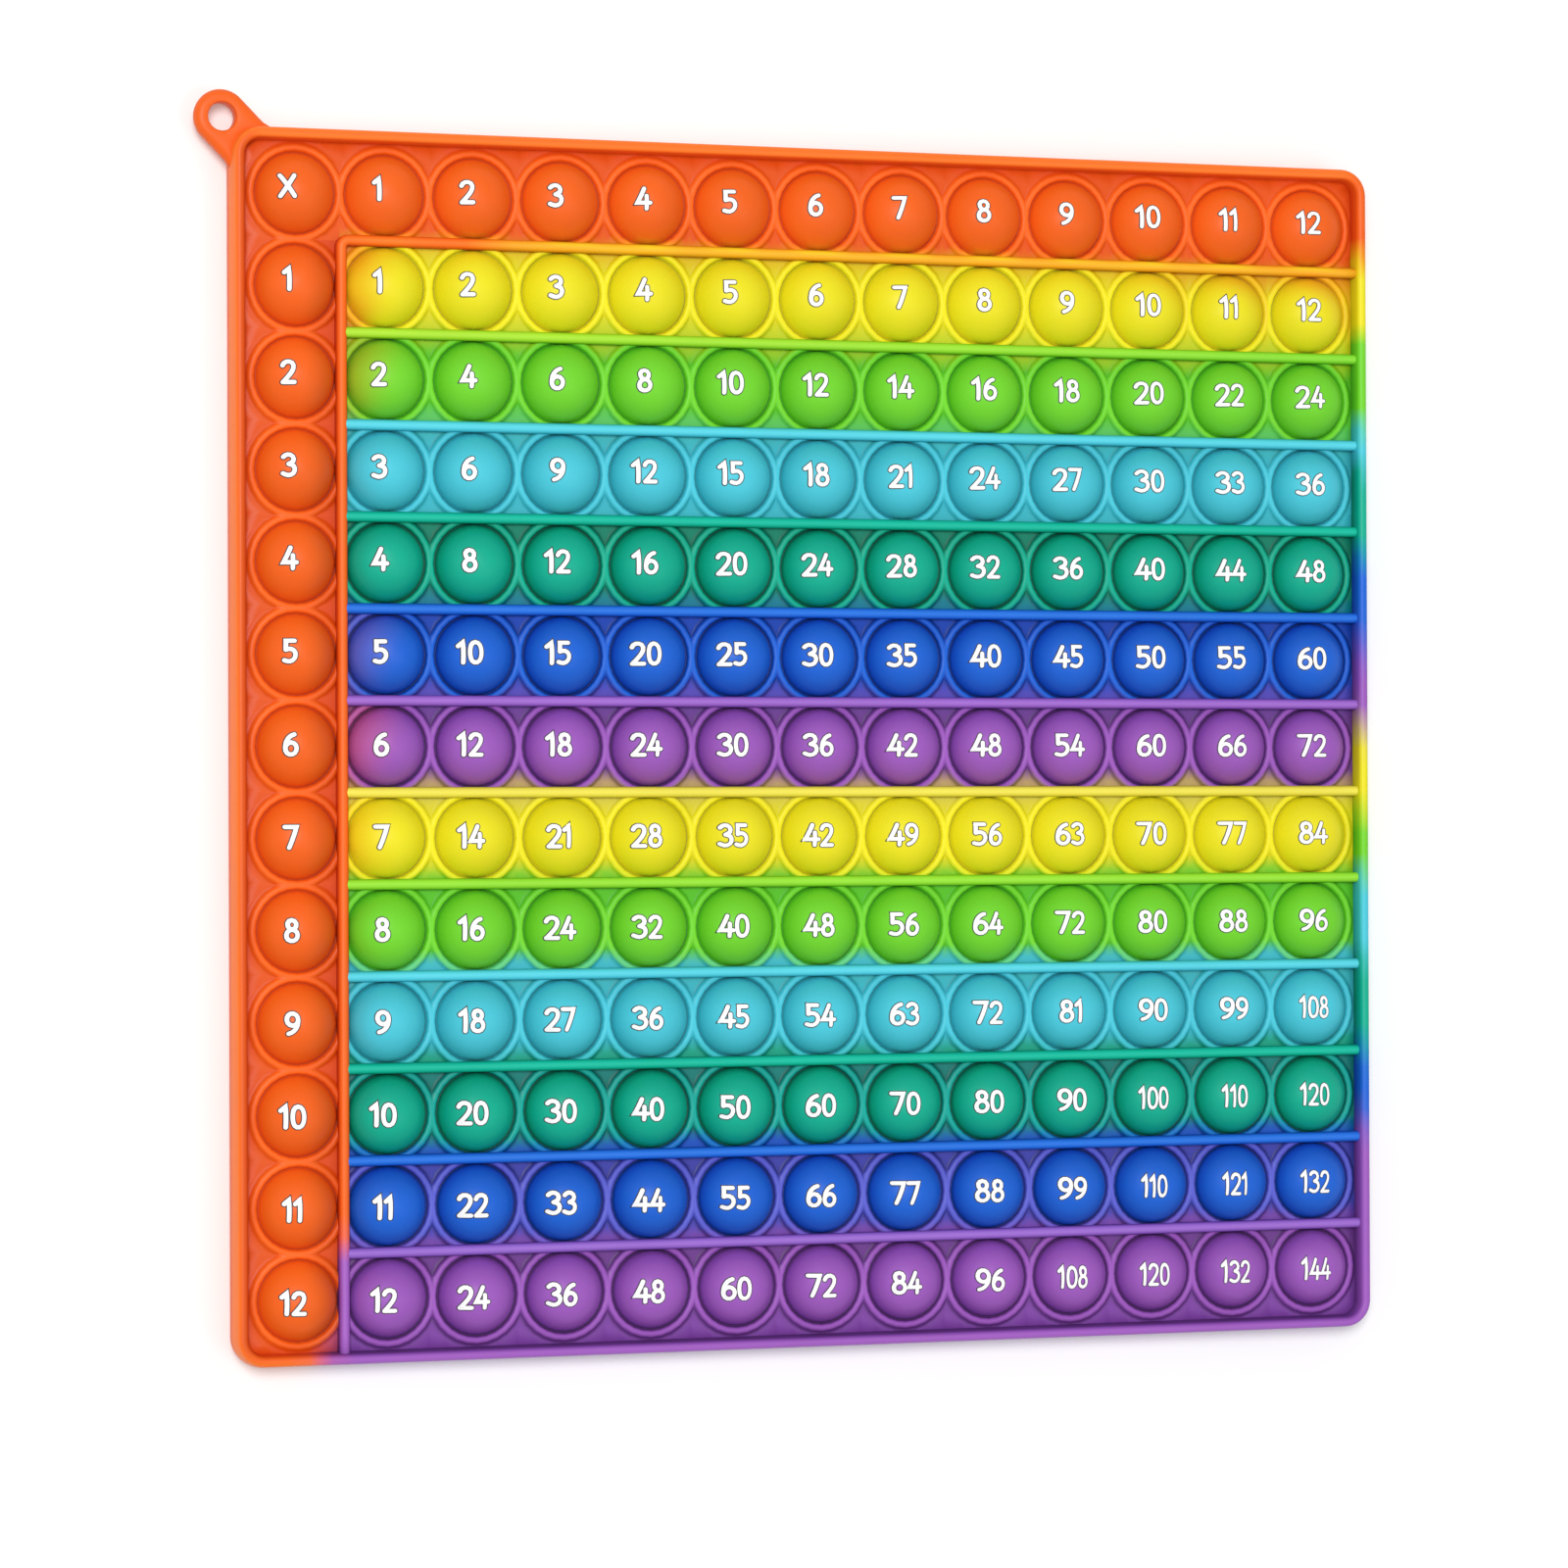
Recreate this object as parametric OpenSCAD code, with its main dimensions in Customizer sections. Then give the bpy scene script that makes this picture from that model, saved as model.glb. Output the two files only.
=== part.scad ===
// Multiplication bubble board: one compression-moulded sheet of silicone with a square grid of
// pop-through bubbles, low ridges that part the rows, a thick rim and a hanging tab at one corner.
// The first row and the first column are the header bubbles. Lengths are millimetres, the board
// lies on its back, and +Y points to the header row.

/* [Bubble grid] */
// Bubbles along each side, with the header row and the header column
bubbles = 13; // [4:1:14]
// Distance between the centres of neighbouring bubbles
bubble_pitch = 20; // [19:0.25:24]
// Diameter of a bubble at its crease
bubble_d = 17.5; // [15:0.1:18]
// Height of a bubble above the web
bubble_h = 7; // [5:0.1:8]
// Silicone thickness at the crown of a bubble
crown_t = 1.4; // [0.8:0.1:2]
// Silicone thickness at the foot of a bubble
foot_t = 0.75; // [0.6:0.05:1.5]

/* [Web and collars] */
// Thickness of the flat web between the bubbles
web_t = 2.2; // [1.6:0.1:3]
// Height of the raised collar round each bubble
collar_h = 0.9; // [0.4:0.1:1.4]
// Width of the groove between a bubble and its collar
crease_w = 0.4; // [0.3:0.05:0.6]
// Width of a collar, which runs into the next one along a row
collar_w = 1.75; // [1.2:0.05:1.85]

/* [Ridges] */
// Width of every ridge
ridge_w = 2.4; // [1.6:0.1:3]
// Height above the web of the ridges between two rows of products
ridge_h = 2.4; // [1.6:0.1:3.4]
// Height above the web of the two ridges that part off the header row and column
header_ridge_h = 2.7; // [1.8:0.1:3.6]
// Inner radius of the corner where the two header ridges meet
header_corner_r = 0.4; // [0.2:0.1:1.5]

/* [Rim] */
// Distance from an outer bubble's centre to the foot of the rim's inner wall
rim_inset = 11.2; // [11.2:0.05:12]
// Width of the rim at its widest
rim_w = 3; // [2.6:0.1:5]
// Height of the rim, front to back
rim_h = 9.4; // [8:0.1:12]
// Radius of the rim's rounded edges
rim_edge_r = 1.25; // [0.9:0.05:1.25]
// Width of the flat on the rim's front and back
rim_flat_w = 0.9; // [0.6:0.1:1.4]
// Radius of the board's corners
corner_r = 6.4; // [5.2:0.1:10]

/* [Hanging tab] */
// Diameter of the hole in the tab
hole_d = 6.2; // [3:0.1:7]
// Diameter of the tab's round end, which is also its width
tab_d = 12; // [9:0.1:14]
// Thickness of the tab
tab_t = 3.8; // [2.6:0.1:5]
// How far the hole's centre stands out past each of the two edges
hole_overhang = 1.8; // [0.5:0.1:5]
// Radius of the fillets between the tab and the rim
tab_fillet_r = 4; // [1:0.5:6]

/* [Hidden] */
$fn = 40;

header_colour = "orangered";
row_colours = ["gold", "limegreen", "mediumturquoise", "lightseagreen", "royalblue", "mediumorchid"];

web_top = web_t / 2;
crease_d = bubble_d + 2 * crease_w;
hollow_d = bubble_d - 2 * foot_t;
over = 0.5;
last = (bubbles - 1) * bubble_pitch;
edge = bubble_pitch / 2;
header_half_h = web_top + header_ridge_h;
row_half_h = web_top + ridge_h;
ridge_edge_r = ridge_w * 0.56;
turn_r = header_corner_r + ridge_w / 2;
rim_half_h = rim_h / 2;
rim_outer = rim_inset + rim_w;
rim_mid = rim_inset + rim_w / 2;
corner_inset = rim_outer - corner_r;
hole_at = rim_outer + hole_overhang;
tab_edge_r = tab_t * 0.52;
tab_reach = hole_at + tab_d / 2;
board_reach = last + 2 * tab_reach;

// Radius of the sphere whose cap has the given foot diameter and height
function cap_radius(foot_d, height) = (foot_d * foot_d / 4 + height * height) / (2 * height);
function row_colour(r) = r == 0 ? header_colour : row_colours[(r - 1) % len(row_colours)];

// Puts a copy in every cell of the grid
module all_cells() {
    for (r = [0:bubbles - 1], c = [0:bubbles - 1])
        translate([c * bubble_pitch, -r * bubble_pitch])
            children();
}

// The outer surfaces of all the bubbles, as whole spheres
module dome_balls() {
    ball_r = cap_radius(bubble_d, bubble_h);
    for (r = [0:bubbles - 1], c = [0:bubbles - 1])
        color(row_colour(r))
            translate([c * bubble_pitch, -r * bubble_pitch, web_top + bubble_h - ball_r])
                sphere(ball_r);
}

// The hollows behind all the bubbles, as whole spheres
module hollow_balls() {
    cap_h = web_t + bubble_h - crown_t;
    ball_r = cap_radius(hollow_d, cap_h);
    all_cells()
        translate([0, 0, cap_h - web_top - ball_r])
            sphere(ball_r);
}

// The collars' outline: rings that run into each other where neighbouring bubbles are closest
module collar_plan() {
    difference() {
        all_cells()
            circle(d = crease_d + 2 * collar_w);
        all_cells()
            circle(d = crease_d);
    }
}

// Sweeps a section round the board: four straight runs and four turned corners. The section's
// x is measured from the axis of an outer bubble.
module around_board() {
    run = last + 2 * corner_inset;
    for (side = [0:3])
        translate([last / 2, -last / 2, 0])
            rotate([0, 0, 90 * side]) {
                translate([last / 2, run / 2, 0])
                    rotate([90, 0, 0])
                        linear_extrude(run)
                            children();
                translate([last / 2 + corner_inset, run / 2, 0])
                    rotate_extrude(angle = 90)
                        translate([-corner_inset, 0])
                            children();
            }
}

// Sweeps a section along +X from the origin
module along(length) {
    rotate([90, 0, 90])
        linear_extrude(length)
            children();
}

// Sweeps a section along the header ridges, round the corner where they meet
module along_header_ridges() {
    run = last + rim_mid - edge - turn_r;
    translate([edge + turn_r, -edge, 0])
        along(run)
            children();
    translate([edge, -edge - turn_r, 0])
        rotate([0, 0, -90])
            along(run)
                children();
    translate([edge + turn_r, -edge - turn_r, 0])
        rotate([0, 0, 90])
            rotate_extrude(angle = 90)
                translate([turn_r, 0])
                    children();
}

// Sweeps a section along one ridge between two rows of products
module along_row_ridge(row) {
    translate([edge, -row * bubble_pitch + edge, 0])
        along(last + rim_mid - edge)
            children();
}

// A bar with two rounded ends, standing along Y
module bar_section(width, height, end_r) {
    intersection() {
        square([width, height], center = true);
        union() {
            square([2 * end_r, height - 2 * end_r], center = true);
            for (end = [-1, 1])
                translate([0, end * (height / 2 - end_r)])
                    circle(end_r);
        }
    }
}

// The ridges that part off the header row and column
module header_ridges() {
    color(header_colour)
        along_header_ridges()
            bar_section(ridge_w, 2 * header_half_h, ridge_edge_r);
}

// The ridges between two rows of products, each in the colour of the row below it
module row_ridges() {
    for (r = [2:bubbles - 1])
        color(row_colour(r))
            along_row_ridge(r)
                bar_section(ridge_w, 2 * row_half_h, ridge_edge_r);
}

// Cross-section of the rim, thickest at the web and with a narrow flat front and back
module rim_section() {
    flat_drop = rim_edge_r - sqrt(rim_edge_r * rim_edge_r - rim_flat_w * rim_flat_w / 4);
    edge_z = rim_half_h + flat_drop - rim_edge_r;
    shoulder_w = rim_edge_r - 0.02;
    shoulder_z = edge_z - 0.15;
    intersection() {
        translate([0, -rim_half_h])
            square([2 * rim_outer, rim_h]);
        union() {
            polygon([
                [rim_inset, -web_top], [rim_inset, web_top],
                [rim_mid - shoulder_w, shoulder_z], [rim_mid + shoulder_w, shoulder_z],
                [rim_outer, web_top / 2], [rim_outer, -web_top / 2],
                [rim_mid + shoulder_w, -shoulder_z], [rim_mid - shoulder_w, -shoulder_z]
            ]);
            for (face = [-1, 1])
                translate([rim_mid, face * edge_z])
                    circle(rim_edge_r);
        }
    }
}

module rim() {
    color(header_colour)
        around_board()
            rim_section();
}

// All that lies within the rim's middle line at the header corner
module inside_rim_plan() {
    translate([-rim_mid, corner_inset - board_reach])
        square(board_reach);
    translate([-corner_inset, rim_mid - board_reach])
        square(board_reach);
    translate([-corner_inset, corner_inset])
        circle(rim_mid - corner_inset);
}

// A fillet where one side of the tab meets the rim
module tab_fillet() {
    side_x = tab_d / sqrt(2) - rim_outer;
    reach = tab_fillet_r * tan(22.5);
    slant = reach / sqrt(2);
    linear_extrude(tab_t / 2, center = true)
        difference() {
            polygon([
                [side_x + reach, rim_outer], [side_x - slant, rim_outer + slant],
                [side_x - slant - over, rim_outer + slant - over],
                [side_x - over, rim_outer - over], [side_x + reach, rim_outer - over]
            ]);
            translate([side_x + reach, rim_outer + tab_fillet_r])
                circle(tab_fillet_r);
        }
}

// The hanging tab, pointing out of the header corner along its diagonal, before its hole is cut
module tab() {
    neck = tab_d / 2 + (hole_at - rim_inset) * sqrt(2);
    color(header_colour) {
        difference() {
            translate([-hole_at, hole_at, 0])
                rotate([0, 0, 45]) {
                    rotate_extrude(angle = 180)
                        intersection() {
                            rotate(90)
                                bar_section(tab_t, tab_d, tab_edge_r);
                            translate([hole_d / 4, -tab_t])
                                square([tab_d, 2 * tab_t]);
                        }
                    rotate([90, 0, 0])
                        linear_extrude(neck)
                            rotate(90)
                                bar_section(tab_t, tab_d, tab_edge_r);
                }
            linear_extrude(2 * tab_t, center = true)
                inside_rim_plan();
        }
        tab_fillet();
        rotate([180, 0, -90])
            tab_fillet();
    }
}

// The web with the collars, bubbles, ridges, rim and tab that stand on it, still solid
module blank() {
    sheet = last + 2 * (rim_mid - over);
    union() {
        color(header_colour)
            translate([(last - sheet) / 2, (-last - sheet) / 2, -web_top])
                cube([sheet, sheet, web_t]);
        color(header_colour)
            linear_extrude(web_top + collar_h)
                collar_plan();
        intersection() {
            dome_balls();
            translate([-edge, -last - edge, 0])
                cube([last + bubble_pitch, last + bubble_pitch, web_top + 2 * bubble_h]);
        }
        header_ridges();
        row_ridges();
        rim();
        tab();
    }
}

module board() {
    translate([(tab_reach - rim_outer - last) / 2, (last + rim_outer - tab_reach) / 2, rim_half_h])
        difference() {
            blank();
            hollow_balls();
            translate([-hole_at, hole_at, -tab_t])
                cylinder(d = hole_d, h = 2 * tab_t);
        }
}

board();
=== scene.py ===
"""Looks of the multiplication bubble board: the silicone moulding with softened edges and its
colours laid row by row, the numbers printed on the bubbles, and a plain stage."""

import math
from types import SimpleNamespace

import bmesh
import bpy
from mathutils import Euler, Matrix, Vector, noise


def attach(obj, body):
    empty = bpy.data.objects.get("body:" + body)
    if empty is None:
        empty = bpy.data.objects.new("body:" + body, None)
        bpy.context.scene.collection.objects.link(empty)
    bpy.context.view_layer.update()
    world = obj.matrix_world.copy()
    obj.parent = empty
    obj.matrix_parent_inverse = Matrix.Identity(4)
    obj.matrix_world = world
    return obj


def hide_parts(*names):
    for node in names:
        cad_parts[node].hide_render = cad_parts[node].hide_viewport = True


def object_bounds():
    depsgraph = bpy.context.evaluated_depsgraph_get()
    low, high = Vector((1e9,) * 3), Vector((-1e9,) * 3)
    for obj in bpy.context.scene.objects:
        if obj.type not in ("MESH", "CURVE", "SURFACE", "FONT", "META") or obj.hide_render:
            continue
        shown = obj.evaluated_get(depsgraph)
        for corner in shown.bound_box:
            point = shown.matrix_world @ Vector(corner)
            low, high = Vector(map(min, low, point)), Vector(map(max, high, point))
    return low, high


bl_info = {
    "name": "Multiplication Bubble Board",
    "version": (1, 0, 0),
    "blender": (4, 5, 0),
    "location": "View3D > Sidebar > Bubble Board",
    "description": "Builds the looks of a silicone multiplication bubble board",
    "category": "Object",
}

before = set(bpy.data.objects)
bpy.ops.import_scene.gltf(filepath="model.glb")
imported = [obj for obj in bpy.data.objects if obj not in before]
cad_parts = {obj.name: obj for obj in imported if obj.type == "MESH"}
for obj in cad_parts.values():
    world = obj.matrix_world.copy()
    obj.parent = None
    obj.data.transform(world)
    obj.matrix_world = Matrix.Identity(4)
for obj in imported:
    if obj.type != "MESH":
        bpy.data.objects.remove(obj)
CAD_BOX = [list(corner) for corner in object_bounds()]

MM = 0.001

# Bubbles along each side, and the places of the last row and the middle one
CELLS = 13
LAST = CELLS - 1
MIDDLE = LAST / 2

# How finely round forms and long runs are cut
FRONT_SEGMENTS = 28
BACK_SEGMENTS = 16
RIM_RUNS = 52
RIM_CORNER_STEPS = 8
RIDGE_RUNS = 46
RIDGE_CORNER_STEPS = 6
TAB_STEPS = 64

# Points nearer than this are merged, in millimetres
MERGE = 0.004
# Radius of the patch that is spun for each bubble, before it is cut to its cell
PATCH_R = 19.5


# Properties


def length_prop(name, description, default_mm):
    return bpy.props.FloatProperty(
        name=name, description=description, default=default_mm * MM, min=0.0, unit="LENGTH",
        subtype="DISTANCE", precision=5)


def colour_prop(name, description, default):
    return bpy.props.FloatVectorProperty(
        name=name, description=description, default=default, size=3, min=0.0, max=1.0,
        subtype="COLOR")


class BubbleBoardShape(bpy.types.PropertyGroup):
    pitch: length_prop("Bubble spacing", "Distance between neighbouring bubbles", 20.0)
    bubble_d: length_prop("Bubble diameter", "Diameter of a bubble at its crease", 17.5)
    bubble_h: length_prop("Bubble height", "Height of a bubble above the web", 7.0)
    hollow_d: length_prop("Hollow diameter", "Diameter of a hollow at the back", 16.0)
    hollow_h: length_prop("Hollow depth", "Depth of a hollow from the back of the web", 7.8)
    web_t: length_prop("Web thickness", "Thickness of the sheet between the bubbles", 2.2)
    collar_h: length_prop("Collar height", "Height of the collars above the web", 0.9)
    ridge_w: length_prop("Ridge width", "Width of the ridges between the rows", 2.4)
    ridge_h: length_prop("Row ridge height", "Height of a row's ridge above the web", 2.4)
    header_ridge_h: length_prop("Header ridge height",
                                "Height above the web of the ridges beside the headers", 2.7)
    header_corner_r: length_prop("Header corner radius",
                                 "Inner radius of the corner of the header ridges", 0.4)
    rim_inset: length_prop("Rim inset", "From an outer bubble's axis to the rim's foot", 11.2)
    rim_w: length_prop("Rim width", "Width of the rim at its foot", 3.0)
    rim_h: length_prop("Rim height", "Height of the rim, front to back", 9.4)
    rim_crest_r: length_prop("Rim crest radius", "Radius of the rim's rounded crests", 1.16)
    corner_r: length_prop("Corner radius", "Radius of the board's corners", 6.4)
    hole_d: length_prop("Hole diameter", "Diameter of the hole in the tab", 6.2)
    hole_overhang: length_prop("Hole overhang", "From the rim's outside to the hole's centre", 1.8)
    tab_d: length_prop("Tab width", "Width of the hanging tab", 12.0)
    tab_t: length_prop("Tab thickness", "Thickness of the hanging tab", 3.8)
    tab_fillet_r: length_prop("Tab fillet radius", "Radius between the tab and the rim", 4.0)


class BubbleBoardColours(bpy.types.PropertyGroup):
    orange: colour_prop("Orange", "Header row, header column and tab", (0.84, 0.118, 0.0075))
    yellow: colour_prop("Yellow", "Rows 1 and 7", (0.80, 0.72, 0.011))
    green: colour_prop("Lime green", "Rows 2 and 8", (0.16, 0.63, 0.024))
    cyan: colour_prop("Cyan", "Rows 3 and 9", (0.064, 0.545, 0.665))
    teal: colour_prop("Teal", "Rows 4 and 10", (0.001, 0.40, 0.262))
    blue: colour_prop("Blue", "Rows 5 and 11", (0.0093, 0.12, 0.63))
    purple: colour_prop("Purple", "Rows 6 and 12", (0.32, 0.097, 0.477))
    ink: colour_prop("Ink", "Face of the printed numbers", (0.90, 0.90, 0.90))
    ink_edge: colour_prop("Ink edge", "Thin dark edge of the printed numbers", (0.03, 0.025, 0.03))


class BubbleBoardNumbers(bpy.types.PropertyGroup):
    height: length_prop("Number height", "Height of the printed digits", 5.6)
    pen: length_prop("Stroke width", "Width of a digit's stroke", 0.92)
    edge: length_prop("Edge width", "Width of the dark edge round each digit", 0.2)
    left: length_prop("Shift left", "How far the X is printed left of its bubble's crown", 3.0)
    up: length_prop("Shift up", "How far the X is printed above its bubble's crown", 0.8)


def shape_mm():
    """The shape's sizes in millimetres, as plain attributes. To them it adds the middle of the
    sheet's thickness and the axis of the header corner's bubble, from the frame's box."""
    props = bpy.context.scene.bubble_board_shape
    s = SimpleNamespace(**{k: getattr(props, k) / MM for k in props.__annotations__})
    (_, near_y, _), (right_x, _, _) = CAD_BOX
    span = LAST * s.pitch + s.rim_inset + s.rim_w
    s.corner_x, s.corner_y = right_x / MM - span, near_y / MM + span
    s.sheet_z = s.rim_h / 2
    return s


def row_palette():
    """Linear colour of each row, header row first."""
    c = bpy.context.scene.bubble_board_colours
    products = [c.yellow, c.green, c.cyan, c.teal, c.blue, c.purple]
    return [Vector(c.orange)] + [Vector(products[i % len(products)]) for i in range(LAST)]


# Colour of the silicone, and the shade and highlights painted on it


def smooth(lo, hi, x):
    """An even curve from 0 at lo to 1 at hi, which may be the smaller."""
    t = min(max((x - lo) / (hi - lo), 0.0), 1.0)
    return t * t * (3 - 2 * t)


def wander(x, y, seed, size):
    """A soft random number about 0 that changes over the given length."""
    return noise.noise(Vector((x / size, y / size, seed * 7.31)))


def between(table, x):
    """Straight-line value of x in a table of (x, value) pairs."""
    for (x0, y0), (x1, y1) in zip(table, table[1:]):
        if x <= x1:
            return y0 + (y1 - y0) * max(x - x0, 0.0) / (x1 - x0)
    return table[-1][1]


# Painted shade: how the front darkens in its grooves, with a painted highlight on its crests;
# millimetres outside a bubble's foot, and the tone there, in the light colours and in the deep ones
LIGHT_COLOUR_SHADING = ((-3.0, 1.0), (-1.35, 1.03), (-0.40, 1.03), (-0.02, 0.75), (0.14, 0.24),
               (0.36, 0.86), (0.60, 1.02), (1.08, 1.06), (1.60, 1.04), (2.02, 0.92),
               (2.20, 0.72), (2.90, 0.78), (5.50, 0.80))
DEEP_COLOUR_SHADING = ((-5.8, 1.0), (-3.15, 0.97), (-1.35, 0.86), (-0.40, 0.64), (-0.02, 0.30),
              (0.14, 0.14), (0.36, 0.30), (0.60, 0.82), (1.08, 1.05), (1.60, 0.95), (2.02, 0.42),
              (2.20, 0.22), (2.90, 0.42), (5.50, 0.50))
# How strongly the painted groove shade shows in each of the seven colours, orange to purple
GROOVE_SHADE_STRENGTH = (0.0, 0.1, 0.55, 0.7, 1.0, 1.0, 1.0)
# Painted highlight and shade down the side of a ridge: millimetres below its crest, and the tone
# there
RIDGE_SHADING = ((0.0, 1.12), (0.35, 1.02), (0.74, 0.72), (1.2, 0.44), (2.4, 0.26))
# Painted shade and highlight across the rim: millimetres outside the outer bubbles' axes, and the
# tone there
LIGHT_RIM_SHADING = ((11.2, 0.48), (11.6, 0.62), (12.0, 0.86), (12.4, 1.0), (12.8, 1.06), (13.4, 1.15),
             (14.2, 1.20))
DEEP_RIM_SHADING = ((11.2, 0.26), (11.6, 0.34), (12.0, 0.58), (12.4, 0.90), (12.8, 1.04), (14.2, 1.04))
# The same along the top, where painted light lifts the inner wall that is turned from the lamps,
# and along the right
TOP_RIM_SHADING = ((11.2, 0.78), (11.6, 1.12), (12.0, 1.25), (12.4, 1.18), (12.8, 1.08), (13.4, 1.15),
           (14.2, 1.20))
RIGHT_RIM_SHADING = ((11.2, 0.26), (11.36, 0.40), (11.55, 0.86), (11.9, 1.0), (14.2, 1.05))
# What is left of a strong channel under painted shade of the given tone, at most
STRONG = ((0.45, 0.72), (0.85, 0.88), (1.0, 1.0))
# Down the right rim: rows from the header row, and the row whose colour lies there
RIM_BANDS = ((-1.0, 0), (0.25, 0), (0.50, 1), (1.15, 1), (1.35, 2), (2.15, 2), (2.45, 3), (2.70, 3),
             (2.90, 4), (3.55, 4), (4.05, 5), (4.50, 5), (5.30, 6), (5.50, 6), (6.10, 7), (6.50, 7),
             (7.05, 8), (7.35, 8), (7.65, 9), (8.20, 9), (8.65, 10), (9.20, 10), (9.80, 11),
             (10.10, 11), (10.65, 12), (13.5, 12))
# How much of the colour above has mixed into the ridge over a row, at its left and right ends
RIDGE_MIX = {2: (0.30, 0.06), 6: (0.15, 0.15), 7: (0.10, 0.10), 8: (0.12, 0.12), 12: (0.25, 0.2)}
# How far the next row's colour, and the row's above, has run into the web of each row
RUN_UP = (0.0, 0.3, 0.2, 0.1, 0.38, 0.45, 0.6, 0.9, 1.0, 0.95, 0.95, 0.9, 0.0)
RUN_DOWN = (0.0, 0.25, 0.45, 0.12, 0.05, 0.0, 0.1, 0.15, 0.0, 0.1, 0.15, 0.0, 0.0)
# The share of that which has reached the collars too
RUN_ON_COLLARS = {7: 0.2, 8: 0.35, 9: 0.3, 10: 0.85, 11: 0.6}
# The share of the next row's colour that lies all round the bubbles of a row
RUN_ROUND = {10: 0.12, 11: 0.3}
# The share of orange in the left of a row's first bubble
ORANGE_RUN = {1: 0.30, 2: 0.22, 5: 0.10, 6: 0.30, 7: 0.12}


def painted_shading(colour, tone):
    """A colour in a groove under painted shade, or on a crest under a painted highlight. Its strong
    channels darken less, so it gets richer.
    """
    if tone >= 1.0:
        paler = 1.0 / (1.0 + 1.2 * (tone - 1.0))
        return Vector(min(1.0, c ** paler * (0.5 + 0.5 * tone)) for c in colour)
    strongest, most = max(colour), between(STRONG, tone)
    lift = [1.0 + 1.3 * (strongest if c > 0.8 * strongest else c) ** 2 for c in colour]
    return Vector(c * min(most, tone * k) for c, k in zip(colour, lift))


def colour_index(row):
    """Which of the seven colours a row has."""
    return 0 if row == 0 else 1 + (row - 1) % (len(GROOVE_SHADE_STRENGTH) - 1)


def nearest_cell(u, v):
    """Row and column of the bubble nearest to a grid place."""
    return min(max(round(v), 0), LAST), min(max(round(u), 0), LAST)


def painted_groove_shading(s, u, v):
    """The painted shade of the front of the sheet at a grid place, for its depth between the
    bubbles.
    """
    row, col = nearest_cell(u, v)
    off, side = v - row, u - col
    outside = math.hypot(side, off) * s.pitch - s.bubble_d / 2
    # How strongly the painted shade shows in this colour
    depth = GROOVE_SHADE_STRENGTH[0 if col == 0 else colour_index(row)]
    light, deep = between(LIGHT_COLOUR_SHADING, outside), between(DEEP_COLOUR_SHADING, outside)
    tone = light + (deep - light) * depth
    if outside > 2.1:
        # Painted shade: the web is darker under a row's upper ridge than over the lower one
        tone *= 0.92 + (0.06 + 0.26 * depth) * smooth(-0.3, 0.3, off)
    elif row > 0 and col > 0:
        # Painted shade: bubbles and collars darken where they pass close to the two ridges
        tone *= 1.0 - (0.02 + 0.24 * depth) * smooth(0.0, -0.45, off)
        tone *= 1.0 - 0.12 * depth * smooth(0.1, 0.45, off)
    # Painted shade on the right of the header column, beside the header ridge
    if col == 0 and row > 0:
        tone *= 1.0 - 0.32 * smooth(0.0, 0.46, side)
    # Painted shade: all of it darkens toward the rim, beside it and along its top and bottom
    beside, along = (smooth(8.4, s.rim_inset, (abs(place - MIDDLE) - MIDDLE) * s.pitch)
                     for place in (u, v))
    return tone * (1.0 - (0.30 + 0.1 * depth) * beside) * (1.0 - (0.28 - 0.2 * depth) * along)


def sheet_colour(rows, u, v):
    """Colour of the sheet at grid place u, v (columns right, rows down)."""
    row, col = nearest_cell(u, v)
    base = rows[0 if col == 0 else row].copy()
    off = v - row
    radius = math.hypot(u - col, off)
    collar, web = smooth(0.44, 0.46, radius), smooth(0.50, 0.55, radius)
    if col == 0:
        # Purple has run in at the bottom of the header column
        run = 0.6 * smooth(0.1, 0.5, u) * smooth(11.7, 12.5, v) * web
        return base.lerp(rows[LAST], run)
    if row == 0:
        # Yellow has run in under the header row
        run = smooth(0.36, 0.46, off) * (0.28 + 0.3 * wander(u, 0, 3, 1.2))
        return base.lerp(rows[1], min(max(run, 0.0), 0.4))
    edge = 0.06 * wander(u, v, 5, 1.5)
    if row < LAST:
        reach = max(web, RUN_ON_COLLARS.get(row, 0.0) * collar)
        run = RUN_UP[row] * reach * smooth(0.22, 0.42, off + edge)
        base = base.lerp(rows[row + 1], max(run, RUN_ROUND.get(row, 0.0) * collar))
    base = base.lerp(rows[row - 1], RUN_DOWN[row] * web * smooth(0.26, 0.44, edge - off))
    if row == 1:
        # Orange comes in at the header corner, and along the header ridge to the right
        corner = 0.8 * smooth(0.95, 0.5, u) * smooth(0.0, 0.5, abs(off))
        base = base.lerp(rows[0], max(corner, 0.4 * smooth(8.5, 12.4, u) * smooth(0.1, 0.5, -off)))
    return base


def bubble_tint(colour, rows, u, v):
    """Orange from the headers runs into the left of some rows' first bubbles, and into the upper
    right of the last three of row 1."""
    row, col = nearest_cell(u, v)
    if row == 1 and col > 9:
        return colour.lerp(rows[0], 0.09 * (col - 9) * smooth(0.0, 0.5, u - col - (v - row)))
    if col == 1 and row in ORANGE_RUN:
        side = smooth(0.15, -0.45, u - col + 0.35 * (v - row))
        return colour.lerp(rows[0], ORANGE_RUN[row] * side)
    return colour


def rim_colour(rows, u, v):
    """Colour along the rim: orange at the top and left, then the rows' colours down the right."""
    if u > LAST + 0.25:
        for (v0, r0), (v1, r1) in zip(RIM_BANDS, RIM_BANDS[1:]):
            if v <= v1:
                return rows[r0].lerp(rows[r1], smooth(v0, v1, v))
    if v > LAST + 0.25:
        return rows[0].lerp(rows[LAST], smooth(-0.05, 0.35, u + 0.2 * wander(u, v, 8, 0.5)))
    return rows[0].copy()


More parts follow.
